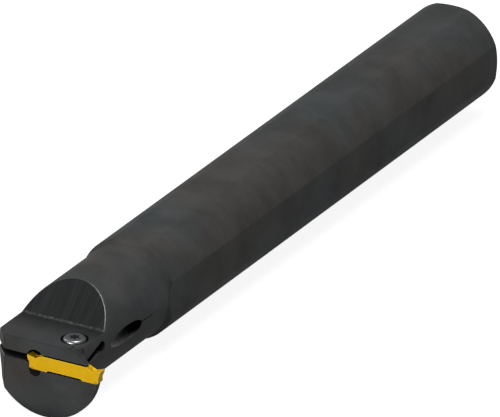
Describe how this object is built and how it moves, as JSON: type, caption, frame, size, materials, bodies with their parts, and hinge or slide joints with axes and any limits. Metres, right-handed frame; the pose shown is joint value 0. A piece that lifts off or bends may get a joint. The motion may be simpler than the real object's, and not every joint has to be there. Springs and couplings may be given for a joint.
{
  "type": "internal grooving tool holder",
  "caption": "Round steel boring bar with flats, a sprung clamping jaw at its front that holds a gold double-ended grooving insert, a clamp screw and a coolant way.",
  "frame": {"origin": "centre of the rear face, on the bar's axis, at the mouth of the coolant inlet", "axes": "+Y out of the rear face along the bar, +Z normal to the top flat and to the insert's rake face, +X the way the cutting edge points"},
  "size_m": [0.037, 0.25, 0.034],
  "materials": {
    "black_oxide_steel": "satin black oxide over turned and milled steel",
    "gold_coated_carbide": "satin gold nitride coating on sintered carbide",
    "screw_steel": "bright turned steel"
  },
  "bodies": {
    "holder": {"holder_body": "black_oxide_steel"},
    "insert": {"grooving_insert": "gold_coated_carbide"},
    "screw": {"clamp_screw": "screw_steel"}
  },
  "joints": [
    {"name": "insert_slide", "type": "slide", "parent": "holder", "child": "insert", "axis": [1, 0, 0], "range_m": [0, 0.026]},
    {"name": "screw_turn", "type": "hinge", "parent": "holder", "child": "screw", "pos_m": [0.0088, -0.24225, 0.0043], "axis": [0, 0, 1], "range_deg": [0, 720]}
  ]
}
